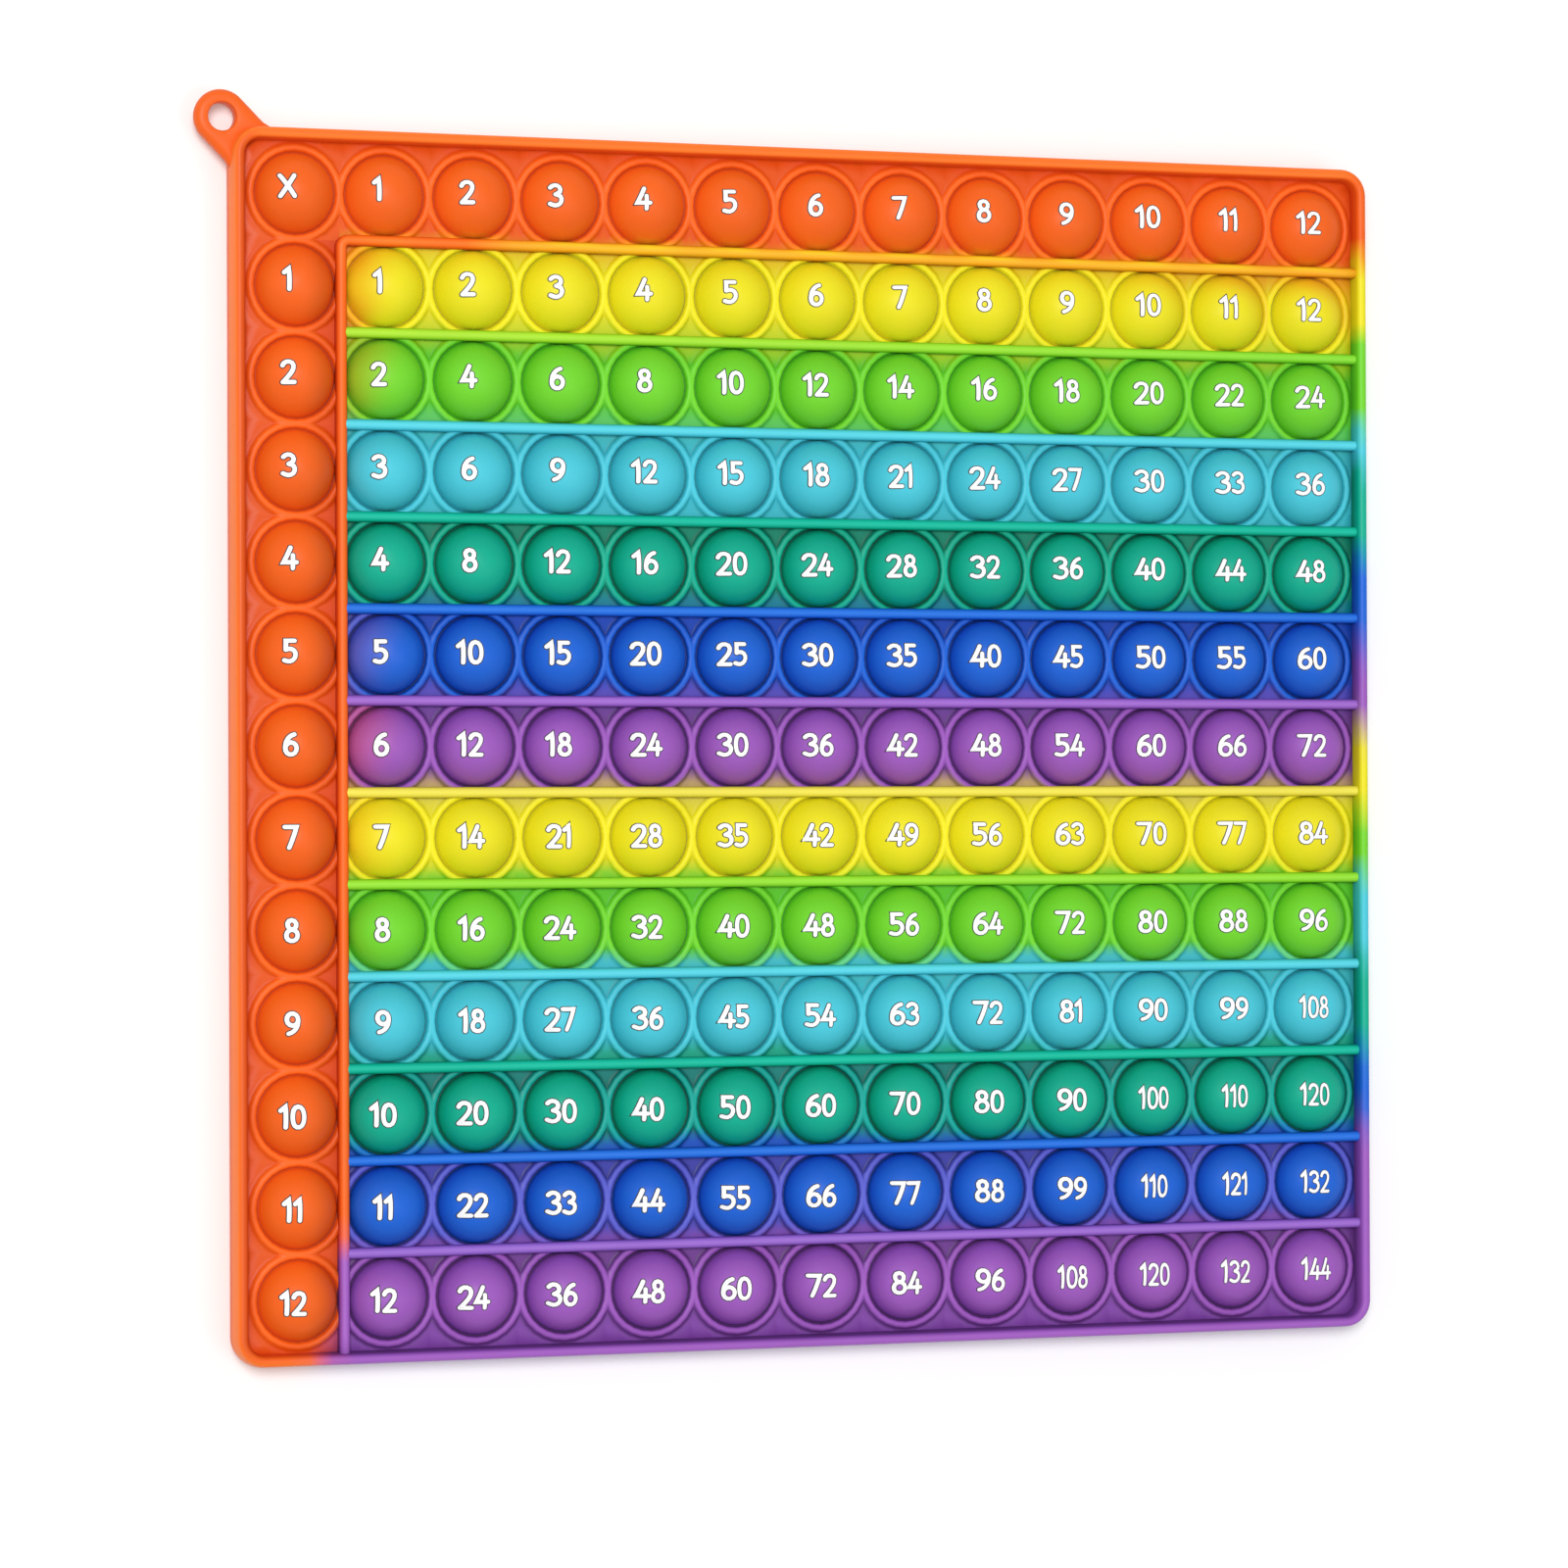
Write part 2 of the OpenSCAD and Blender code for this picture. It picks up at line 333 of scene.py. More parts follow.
def across_rim(s, u, v):
    """How far out of the outer bubbles' axes a grid place lies, measured square to the rim."""
    turn = s.rim_inset + s.rim_w - s.corner_r
    dx, dy = ((abs(place - MIDDLE) - MIDDLE) * s.pitch - turn for place in (u, v))
    return turn + math.hypot(max(dx, 0.0), max(dy, 0.0)) + min(max(dx, dy), 0.0)


def painted_rim_shading(colour, u, v, across):
    """The painted shade and highlight of the front of the rim, for its side of the board and the
    place across it.
    """
    light, deep = between(LIGHT_RIM_SHADING, across), between(DEEP_RIM_SHADING, across)
    tone = deep + (light - deep) * smooth(0.3, 0.8, max(colour.x, colour.y - colour.z))
    x, y = u - MIDDLE, MIDDLE - v
    top, right, left = (smooth(-0.3, 0.3, d) for d in (y - abs(x), x - abs(y), -x - abs(y)))
    # Painted light on the top's inner wall, and painted shade down the right's
    tone += (between(TOP_RIM_SHADING, across) - tone) * top
    tone += (between(RIGHT_RIM_SHADING, across) - tone) * right
    # Painted shade on the inner side of the left rim
    return tone * (1.0 - 0.28 * left * smooth(13.9, 12.4, across))


def paint(bm, colour_of):
    """Writes a colour, its painted shade included, to each corner of each face, from its place in
    millimetres. The place is taken just inside the face, so that neighbouring cells can differ
    along their border."""
    layer = bm.loops.layers.float_color.new("silicone_colour_and_shading")
    for face in bm.faces:
        middle = face.calc_center_median()
        for loop in face.loops:
            c = colour_of(loop.vert.co.lerp(middle, 0.01))
            loop[layer] = (c[0], c[1], c[2], 1.0)


# The moulding


def spun_profile(points, segments):
    """A mesh spun about Z from (radius, height) points, the first of them on the axis."""
    bm = bmesh.new()
    line = [bm.verts.new((r, 0.0, z)) for r, z in points]
    edges = [bm.edges.new(pair) for pair in zip(line, line[1:])]
    bmesh.ops.spin(bm, geom=line + edges, cent=(0, 0, 0), axis=(0, 0, 1), dvec=(0, 0, 0),
                   angle=2 * math.pi, steps=segments, use_merge=True, use_duplicate=False)
    bmesh.ops.remove_doubles(bm, verts=bm.verts, dist=0.001)
    return bm


def cap_point(foot_r, foot_z, height, r):
    """Height at radius r of a sphere's cap that stands on a circle of radius foot_r."""
    ball = (foot_r ** 2 + height ** 2) / (2 * height)
    return foot_z + height - ball + math.sqrt(max(ball ** 2 - r ** 2, 0.0))


def front_profile(s):
    """The front's section, from a bubble's crown over its groove and collar to the web."""
    web, crest = s.web_t / 2, s.web_t / 2 + s.collar_h
    foot = s.bubble_d / 2
    dome = [(r, cap_point(foot, web, s.bubble_h, r))
            for r in (0.0, 3.0, 5.6, 7.4, 8.35, foot - 0.02)]
    return dome + [
        (foot + 0.14, web - 0.30), (foot + 0.36, web + 0.22), (foot + 0.60, crest - 0.14),
        (foot + 1.08, crest), (foot + 1.60, crest - 0.07), (foot + 2.02, crest - 0.55),
        (foot + 2.20, web + 0.04), (foot + 2.90, web), (PATCH_R, web)]


def back_profile(s):
    """The back's section, from the middle of a hollow to the web."""
    web = -s.web_t / 2
    foot = s.hollow_d / 2
    hollow = [(r, cap_point(foot, web, s.hollow_h, r)) for r in (0.0, 2.8, 5.2, 6.9, 7.7)]
    return hollow + [(foot - 0.02, web + 0.40), (foot + 0.30, web), (PATCH_R, web)]


def cell_mesh(profile, segments, left, right, down, up):
    """One cell's surface cut to its rectangle, as a mesh to copy."""
    bm = spun_profile(profile, segments)
    for place, normal in (((-left, 0, 0), (-1, 0, 0)), ((right, 0, 0), (1, 0, 0)),
                          ((0, -down, 0), (0, -1, 0)), ((0, up, 0), (0, 1, 0))):
        geom = list(bm.verts) + list(bm.edges) + list(bm.faces)
        bmesh.ops.bisect_plane(bm, geom=geom, dist=0.0005, plane_co=place, plane_no=normal,
                               clear_outer=True, clear_inner=False)
    return kept_mesh(bm)


def kept_mesh(bm):
    """Turns a mesh in the making into one to copy from."""
    mesh = bpy.data.meshes.new("copy")
    bm.to_mesh(mesh)
    bm.free()
    return mesh


def join(bm, mesh, move=(0, 0, 0)):
    """Adds a copy of a mesh, moved first."""
    mesh.transform(Matrix.Translation(move))
    bm.from_mesh(mesh)
    mesh.transform(Matrix.Translation(-Vector(move)))


def make_sheet(s):
    """The web with every bubble, collar and hollow, closed round its edge inside the rim."""
    half = s.pitch / 2
    # The sheet ends inside the rim, where its square corners don't stand out of the rounded ones
    far = s.rim_inset + s.rim_w / 2 - 0.5
    sheet = bmesh.new()
    for profile, segments in ((front_profile(s), FRONT_SEGMENTS), (back_profile(s), BACK_SEGMENTS)):
        for down, up, rows in ((half, far, (0,)), (half, half, range(1, LAST)),
                               (far, half, (LAST,))):
            cells = {col: cell_mesh(profile, segments, far if col == 0 else half,
                                    far if col == LAST else half, down, up)
                     for col in (0, 1, LAST)}
            row_bm = bmesh.new()
            for col in range(CELLS):
                join(row_bm, cells[col if col in cells else 1], (col * s.pitch, 0, 0))
            bmesh.ops.remove_doubles(row_bm, verts=row_bm.verts, dist=MERGE)
            row_mesh = kept_mesh(row_bm)
            for row in rows:
                join(sheet, row_mesh, (s.corner_x, s.corner_y - row * s.pitch, s.sheet_z))
    bmesh.ops.remove_doubles(sheet, verts=sheet.verts, dist=MERGE)
    bmesh.ops.bridge_loops(sheet, edges=[e for e in sheet.edges if e.is_boundary])
    return sheet


def loop_section(bm, points, place):
    """A closed ring of vertices from (outwards, up) points, set in the frame by place()."""
    verts = [bm.verts.new(place(x, z)) for x, z in points]
    edges = [bm.edges.new((a, b)) for a, b in zip(verts, verts[1:] + verts[:1])]
    return verts, edges


def draw_on(bm, edges, step, count):
    """Extrudes a ring of edges count times, each time by step. Gives back the last ring."""
    for _ in range(count):
        new = bmesh.ops.extrude_edge_only(bm, edges=edges)["geom"]
        edges = [g for g in new if isinstance(g, bmesh.types.BMEdge)
                 and all(v in new for v in g.verts) and g.is_boundary]
        bmesh.ops.translate(bm, vec=step, verts=[g for g in new
                                                 if isinstance(g, bmesh.types.BMVert)])
    return edges


def turn_on(bm, edges, centre, angle, steps):
    """Spins a ring of edges about an upright axis. Gives back the last ring."""
    ring = list(dict.fromkeys(v for e in edges for v in e.verts))
    out = bmesh.ops.spin(bm, geom=ring + edges, cent=centre, axis=(0, 0, 1), dvec=(0, 0, 0),
                         angle=angle, steps=steps, use_merge=False, use_duplicate=False)
    return [g for g in out["geom_last"] if isinstance(g, bmesh.types.BMEdge)]


def arc(cx, cz, r, start, end, steps):
    """Points of an arc in degrees."""
    return [(cx + r * math.cos(math.radians(start + (end - start) * i / steps)),
             cz + r * math.sin(math.radians(start + (end - start) * i / steps)))
            for i in range(steps + 1)]


def rim_section(s):
    """The rim's section, counted from an outer bubble's axis: drafted walls, rounded crests."""
    top = s.rim_h / 2
    outer = s.rim_inset + s.rim_w
    mid = s.rim_inset + s.rim_w / 2
    r = s.rim_crest_r
    upper = ([(outer, 0.0), (outer - 0.03, 1.0)] + arc(mid, top - r, r, 8, 172, 10)
             + [(s.rim_inset + 0.16, 1.6), (s.rim_inset, 1.0)])
    lower = [(x, -z) for x, z in reversed(upper[1:])]
    return upper + [(s.rim_inset, 0.0)] + lower


def make_rim(s):
    """The rim, drawn along each side and spun round each corner."""
    bm = bmesh.new()
    half = MIDDLE * s.pitch
    middle = Vector((s.corner_x + half, s.corner_y - half, s.sheet_z))
    reach = half + s.rim_inset + s.rim_w - s.corner_r
    _, edges = loop_section(bm, rim_section(s),
                            lambda x, z: middle + Vector((half + x, -reach, z)))
    for side in range(4):
        turn = Matrix.Rotation(math.radians(90 * side), 3, "Z")
        edges = draw_on(bm, edges, turn @ Vector((0, 2 * reach / RIM_RUNS, 0)), RIM_RUNS)
        centre = middle + turn @ Vector((reach, reach, 0))
        edges = turn_on(bm, edges, centre, math.pi / 2, RIM_CORNER_STEPS)
    bmesh.ops.remove_doubles(bm, verts=bm.verts, dist=MERGE)
    return bm


def ridge_section(s, height):
    """A ridge's section: a bar from front to back with rounded crests."""
    half = s.ridge_w / 2
    top = s.web_t / 2 + height
    upper = [(half, 0.0), (half, s.web_t / 2)] + arc(0, top - half, half, 0, 180, 8) + [
        (-half, s.web_t / 2), (-half, 0.0)]
    lower = [(x, -z) for x, z in reversed(upper[1:-1])]
    return upper + lower


def make_row_ridge(s):
    """The ridge above the first row of products, to be moved down to each row."""
    bm = bmesh.new()
    y = s.corner_y - s.pitch / 2
    start = s.corner_x + s.pitch / 2
    end = s.corner_x + LAST * s.pitch + s.rim_inset + s.rim_w / 2
    verts, edges = loop_section(bm, ridge_section(s, s.ridge_h),
                                lambda x, z: (start, y + x, s.sheet_z + z))
    bm.faces.new(verts)
    # The short first and last lengths keep the end faces out of the long length's shading
    short = 0.5
    for length in (short, end - start - 2 * short, short):
        edges = draw_on(bm, edges, Vector((length, 0, 0)), 1)
    bmesh.ops.edgeloop_fill(bm, edges=edges)
    return bm


def make_header_ridges(s):
    """The two ridges beside the headers, in one piece round their corner."""
    bm = bmesh.new()
    x0, y0 = s.corner_x + s.pitch / 2, s.corner_y - s.pitch / 2
    turn = s.header_corner_r + s.ridge_w / 2
    run = LAST * s.pitch + s.rim_inset + s.rim_w / 2 - s.pitch / 2 - turn
    verts, edges = loop_section(bm, ridge_section(s, s.header_ridge_h),
                                lambda x, z: (x0 + x, y0 - turn - run, s.sheet_z + z))
    bm.faces.new(verts)
    edges = draw_on(bm, edges, Vector((0, run / RIDGE_RUNS, 0)), RIDGE_RUNS)
    edges = turn_on(bm, edges, (x0 + turn, y0 - turn, s.sheet_z), -math.pi / 2,
                    RIDGE_CORNER_STEPS)
    edges = draw_on(bm, edges, Vector((run / RIDGE_RUNS, 0, 0)), RIDGE_RUNS)
    bmesh.ops.edgeloop_fill(bm, edges=edges)
    return bm


def tab_outline(s):
    """The tab's neck in its own plan (Y outwards from the hole), as points from one side to
    the other through the inside of the rim."""
    half, fillet = s.tab_d / 2, s.tab_fillet_r
    # Where the tab's side meets the rim's outer face, and the centre of the fillet over it
    joint_y = -half - s.hole_overhang * math.sqrt(2)
    centre = Vector((half + fillet, joint_y + fillet * math.tan(math.radians(22.5))))
    right = [Vector((half, 0.0))]
    right += [Vector(p) for p in arc(centre.x, centre.y, fillet, 180, 225, 5)]
    inward = right[-1] + Vector((-1, -1)) * (s.rim_w / 2 / math.sqrt(2))
    middle_r = s.corner_r - s.rim_w / 2
    arc_y = -(s.hole_overhang + s.corner_r) * math.sqrt(2)
    right += [inward, Vector((middle_r / math.sqrt(2), arc_y + middle_r / math.sqrt(2))),
              Vector((0.0, arc_y + middle_r))]
    left = [Vector((-p.x, p.y)) for p in reversed(right[:-1])]
    return right + left


def reach_along(outline, direction):
    """How far a ray from the hole's centre goes before it meets the outline."""
    best = None
    for a, b in zip(outline, outline[1:]):
        d = b - a
        det = direction.x * -d.y + d.x * direction.y
        if abs(det) < 1e-9:
            continue
        t = (a.x * -d.y + d.x * a.y) / det
        w = (direction.x * a.y - direction.y * a.x) / det
        if t > 0 and -1e-6 <= w <= 1 + 1e-6 and (best is None or t < best):
            best = t
    return best


def make_tab(s):
    """The hanging tab: a ring spun about its hole, its inner side drawn out into the neck."""
    bm = bmesh.new()
    outline = tab_outline(s)
    hole_r, head_r, half = s.hole_d / 2, s.tab_d / 2, s.tab_t / 2
    edge_r = half * 0.92
    upper = ([(hole_r, 0.0), (hole_r, half - 0.35), (hole_r + 0.12, half - 0.09),
              (hole_r + 0.35, half), (head_r - edge_r, half)]
             + arc(head_r - edge_r, half - edge_r, edge_r, 75, 0, 5))
    lower = [(x, -z) for x, z in reversed(upper[1:-1])]
    verts, edges = loop_section(bm, upper + lower, lambda x, z: (x, 0.0, z))
    bmesh.ops.spin(bm, geom=verts + edges, cent=(0, 0, 0), axis=(0, 0, 1), dvec=(0, 0, 0),
                   angle=2 * math.pi, steps=TAB_STEPS, use_merge=True, use_duplicate=False)
    # The inner half is drawn out until its edge lies on the neck's outline
    for v in bm.verts:
        flat = Vector((v.co.x, v.co.y))
        if flat.y < -1e-4:
            direction = flat.normalized()
            reach = reach_along(outline, direction)
            if reach:
                grow = (reach - hole_r) / (head_r - hole_r)
                flat = direction * (hole_r + (flat.length - hole_r) * grow)
                v.co.x, v.co.y = flat.x, flat.y
    turn = Matrix.Rotation(math.radians(45), 4, "Z")
    hole_at = s.rim_inset + s.rim_w + s.hole_overhang
    place = Matrix.Translation((s.corner_x - hole_at, s.corner_y + hole_at, s.sheet_z))
    bmesh.ops.transform(bm, matrix=place @ turn, verts=bm.verts)
    return bm


def build_board(s, rows):
    """The whole moulding, its parts painted with their colours and painted shade, then joined in
    one mesh.
    """
    def grid(co):
        return (co.x - s.corner_x) / s.pitch, (s.corner_y - co.y) / s.pitch

    def painted_ridge_shading(co, height):
        return between(RIDGE_SHADING, s.web_t / 2 + height - abs(co.z - s.sheet_z))

    def on_sheet(co):
        u, v = grid(co)
        colour = bubble_tint(sheet_colour(rows, u, v), rows, u, v)
        # Painted shade and highlight on the front only
        return painted_shading(colour, painted_groove_shading(s, u, v)) if co.z > s.sheet_z else colour

    def on_rim(co):
        u, v = grid(co)
        across = across_rim(s, u, v)
        inner_wall = smooth(12.7, s.rim_inset, across)
        colour = rim_colour(rows, u, v + 0.1 * inner_wall)
        # Painted shade and highlight on the rim's front only
        return painted_shading(colour, painted_rim_shading(colour, u, v, across)) if co.z > s.sheet_z else colour

    def on_header_ridges(co):
        u, v = grid(co)
        # The ridge's painted highlight and shade, a little darker down the upright ridge
        tone = painted_ridge_shading(co, s.header_ridge_h)
        if u < 0.62 and v > 0.62:
            return painted_shading(rows[0].lerp(rows[LAST], smooth(11.25, 11.6, v)), 0.95 * tone)
        mix = 0.42 * smooth(1.6, 2.8, u) + 0.12 * wander(u, 0, 11, 0.9)
        cap = smooth(0.30, 0.16, abs(u - round(u))) * smooth(2.5, 3.1, u) * smooth(0.51, 0.47, v)
        return painted_shading(rows[0].lerp(rows[1], max(mix, 0.0) + 0.28 * cap), tone)

    board = bmesh.new()
    for part, colour_of in ((make_sheet(s), on_sheet), (make_rim(s), on_rim),
                            (make_header_ridges(s), on_header_ridges),
                            (make_tab(s), lambda co: rows[0])):
        paint(part, colour_of)
        bmesh.ops.recalc_face_normals(part, faces=part.faces)
        join(board, kept_mesh(part))
    for row in range(2, CELLS):
        def on_ridge(co, row=row):
            left, right = RIDGE_MIX.get(row, (0.0, 0.0))
            mix = left + (right - left) * grid(co)[0] / LAST
            # The ridge's own colour under its painted highlight and shade
            return painted_shading(rows[row].lerp(rows[row - 1], mix), painted_ridge_shading(co, s.ridge_h))

        ridge = make_row_ridge(s)
        paint(ridge, on_ridge)
        bmesh.ops.recalc_face_normals(ridge, faces=ridge.faces)
        join(board, kept_mesh(ridge), (0, -(row - 1) * s.pitch, 0))
    # Only the ends of the ridges have eight corners or more, and they stay flat
    for face in board.faces:
        face.smooth = len(face.verts) < 8
    return board


# Printed numbers

# Centre lines of the strokes of each sign, in shares of the digits' height, with y up from the
# base line. A stroke marked "curve" is a smooth line through its points, "ring" closes on itself.
STROKES = {
    "0": [("ring", ((0.30, 0.90), (0.46, 0.80), (0.52, 0.50), (0.46, 0.20), (0.30, 0.10),
                    (0.14, 0.20), (0.08, 0.50), (0.14, 0.80)))],
    "1": [("line", ((0.06, 0.74), (0.24, 0.90), (0.24, 0.10)))],
    "2": [("curve", ((0.08, 0.74), (0.16, 0.86), (0.30, 0.90), (0.44, 0.84), (0.48, 0.70),
                     (0.42, 0.52), (0.26, 0.30), (0.09, 0.10))),
          ("line", ((0.09, 0.10), (0.51, 0.10)))],
    "3": [("curve", ((0.09, 0.80), (0.20, 0.89), (0.35, 0.89), (0.46, 0.78), (0.43, 0.62),
                     (0.27, 0.53))),
          ("curve", ((0.27, 0.53), (0.44, 0.47), (0.50, 0.31), (0.42, 0.15), (0.25, 0.10),
                     (0.07, 0.17)))],
    "4": [("line", ((0.34, 0.90), (0.07, 0.33), (0.55, 0.33))),
          ("line", ((0.41, 0.60), (0.41, 0.10)))],
    "5": [("line", ((0.47, 0.90), (0.15, 0.90), (0.13, 0.55))),
          ("curve", ((0.13, 0.55), (0.28, 0.59), (0.43, 0.52), (0.49, 0.36), (0.42, 0.18),
                     (0.26, 0.10), (0.08, 0.15)))],
    "6": [("curve", ((0.44, 0.88), (0.27, 0.80), (0.13, 0.60), (0.09, 0.36))),
          ("ring", ((0.30, 0.57), (0.45, 0.50), (0.51, 0.34), (0.45, 0.17), (0.30, 0.10),
                    (0.15, 0.17), (0.09, 0.34), (0.15, 0.50)))],
    "7": [("line", ((0.07, 0.90), (0.50, 0.90), (0.22, 0.10)))],
    "8": [("ring", ((0.30, 0.90), (0.43, 0.84), (0.46, 0.71), (0.40, 0.58), (0.30, 0.54),
                    (0.20, 0.58), (0.14, 0.71), (0.17, 0.84))),
          ("ring", ((0.30, 0.54), (0.45, 0.47), (0.51, 0.31), (0.45, 0.16), (0.30, 0.10),
                    (0.15, 0.16), (0.09, 0.31), (0.15, 0.47)))],
    "9": [("curve", ((0.16, 0.12), (0.33, 0.20), (0.47, 0.40), (0.51, 0.64))),
          ("ring", ((0.30, 0.43), (0.15, 0.50), (0.09, 0.66), (0.15, 0.83), (0.30, 0.90),
                    (0.45, 0.83), (0.51, 0.66), (0.45, 0.50)))],
    "X": [("line", ((0.08, 0.90), (0.60, 0.10))), ("line", ((0.60, 0.90), (0.08, 0.10)))],
}
WIDTHS = {"1": 0.40, "X": 0.68}
PLAIN_WIDTH = 0.60
# The share of its full width that a three-digit number is drawn in
NARROW = 0.76
# Millimetres between the points of a straight stroke, and of a curved one
LINE_SPACING, CURVE_SPACING = 0.75, 0.6
# Millimetres that the ink's face and its edge stand above a bubble, and that both reach into it
FACE_RISE, EDGE_RISE, INK_DEPTH = 0.055, 0.025, 0.10
# Millimetres between strokes, and between digits, so that no two lie in one surface
STROKE_RISE, DIGIT_RISE = 0.008, 0.004
# The print is a little larger than the grid and leans a little, so the numbers drift: millimetres
# to the right for each column and for each row, and down for each row
RIGHT_BY_COL, RIGHT_BY_ROW, DOWN_BY_ROW = 0.08, 0.05, 0.065
# How much thinner the strokes get with each column, and in a three-digit number
THINNER_BY_COL, THINNER_IF_NARROW = 0.013, 0.05


def through(points, closed, spacing):
    """Evenly spaced points of a smooth line through the given ones."""
    n = len(points)
    out = []
    for i in range(n if closed else n - 1):
        if closed:
            p = [points[(i + k) % n] for k in (-1, 0, 1, 2)]
        else:
            p = [points[min(max(i + k, 0), n - 1)] for k in (-1, 0, 1, 2)]
        for j in range(8):
            t = j / 8
            out.append(0.5 * (2 * p[1] + (p[2] - p[0]) * t
                              + (2 * p[0] - 5 * p[1] + 4 * p[2] - p[3]) * t * t
                              + (3 * p[1] - p[0] - 3 * p[2] + p[3]) * t ** 3))
    out.append(points[0] if closed else points[-1])
    return spaced(out, spacing)


def spaced(points, spacing):
    """Resamples a line at near even spacing, its ends kept."""
    lengths = [0.0]
    for a, b in zip(points, points[1:]):
        lengths.append(lengths[-1] + (b - a).length)
    count = max(int(round(lengths[-1] / spacing)), 1)
    out, k = [], 0
    for i in range(count + 1):
        want = lengths[-1] * i / count
        while k < len(points) - 2 and lengths[k + 1] < want:
            k += 1
        span = lengths[k + 1] - lengths[k]
        out.append(points[k].lerp(points[k + 1], (want - lengths[k]) / span if span else 0))
    return out


def stroke_lines(sign, height):
    """The strokes of a sign as (points, closed) in millimetres, corners kept sharp."""
    out = []
    for kind, points in STROKES[sign]:
        points = [Vector(p) * height for p in points]
        if kind == "line":
            line = [points[0]]
            for a, b in zip(points, points[1:]):
                line += spaced([a, b], LINE_SPACING)[1:]
            out.append((line, False))
        else:
            line = through(points, kind == "ring", CURVE_SPACING)
            out.append((line[:-1] if kind == "ring" else line, kind == "ring"))
    return out


def ribbon_outline(line, closed, half):
    """Left and right borders of a ribbon along a line, mitred at its corners."""
    n = len(line)
    left, right = [], []
    for i, p in enumerate(line):
        before = line[i - 1] if closed or i else None
        after = line[(i + 1) % n] if closed or i < n - 1 else None
        d1 = (p - before).normalized() if before is not None else None
        d2 = (after - p).normalized() if after is not None else None
        d = (d1 + d2).normalized() if d1 and d2 else (d1 or d2)
        side = Vector((-d.y, d.x))
        size = half / max(abs(side.dot(Vector((-(d1 or d2).y, (d1 or d2).x)))), 0.5)
        left.append(p + side * size)
        right.append(p - side * size)
    return left, right


def add_stroke(bm, line, closed, half, lift):
    """One stroke as a flat strip with rounded ends, lifted on to its bubble."""
    sides = [[bm.verts.new(lift(p)) for p in side] for side in ribbon_outline(line, closed, half)]
    edges = [bm.edges.new(pair) for side in sides
             for pair in zip(side, side[1:] + (side[:1] if closed else []))]
    bmesh.ops.bridge_loops(bm, edges=edges)
    if closed:
        return
    for end, inner, (near, far) in ((0, 1, sides[::-1]), (-1, -2, sides)):
        out = (line[end] - line[inner]).normalized()
        across = Vector((-out.y, out.x))
        fan = [line[end] + (across * math.cos(t) + out * math.sin(t)) * half
               for t in (math.pi * k / 5 for k in range(1, 5))]
        bm.faces.new([near[end]] + [bm.verts.new(lift(p)) for p in fan] + [far[end]])


def add_label(bm, text, centre, shift, s, height, half, rise):
    """One printed number, wrapped over the bubble whose axis stands at centre."""
    tight = NARROW if len(text) == 3 else 1.0
    widths = [WIDTHS.get(sign, PLAIN_WIDTH) * tight * height for sign in text]
    start_x = shift.x - sum(widths) / 2
    for place, sign in enumerate(text):
        for order, (line, closed) in enumerate(stroke_lines(sign, height)):
            def lift(p, start_x=start_x, up=rise + STROKE_RISE * order + DIGIT_RISE * place):
                x, y = start_x + p.x * tight, shift.y + p.y - height / 2
                top = cap_point(s.bubble_d / 2, s.web_t / 2, s.bubble_h, math.hypot(x, y))
                return centre[0] + x, centre[1] + y, s.sheet_z + top + up

            add_stroke(bm, line, closed, half, lift)
        start_x += widths[place]


def label_texts():
    """Every bubble's number with its row and column."""
    for row in range(CELLS):
        for col in range(CELLS):
            if row == 0 and col == 0:
                yield row, col, "X"
            elif row == 0 or col == 0:
                yield row, col, str(row + col)
            else:
                yield row, col, str(row * col)


def build_numbers(s, n, half, rise):
    """All the numbers as thin solids, with half a stroke's width and their rise over the
    bubbles in millimetres."""
    bm = bmesh.new()
    for row, col, text in label_texts():
        centre = (s.corner_x + col * s.pitch, s.corner_y - row * s.pitch)
        shift = Vector((RIGHT_BY_COL * col + RIGHT_BY_ROW * row - n.left / MM,
                        n.up / MM - DOWN_BY_ROW * row))
        press = 1.0 - THINNER_BY_COL * col - (THINNER_IF_NARROW if len(text) == 3 else 0.0)
        add_label(bm, text, centre, shift, s, n.height / MM, half * press, rise)
    out = bmesh.ops.extrude_face_region(bm, geom=list(bm.faces))
    bmesh.ops.translate(bm, vec=(0, 0, -rise - INK_DEPTH),
                        verts=[g for g in out["geom"] if isinstance(g, bmesh.types.BMVert)])
    bmesh.ops.recalc_face_normals(bm, faces=bm.faces)
    return bm


# Materials


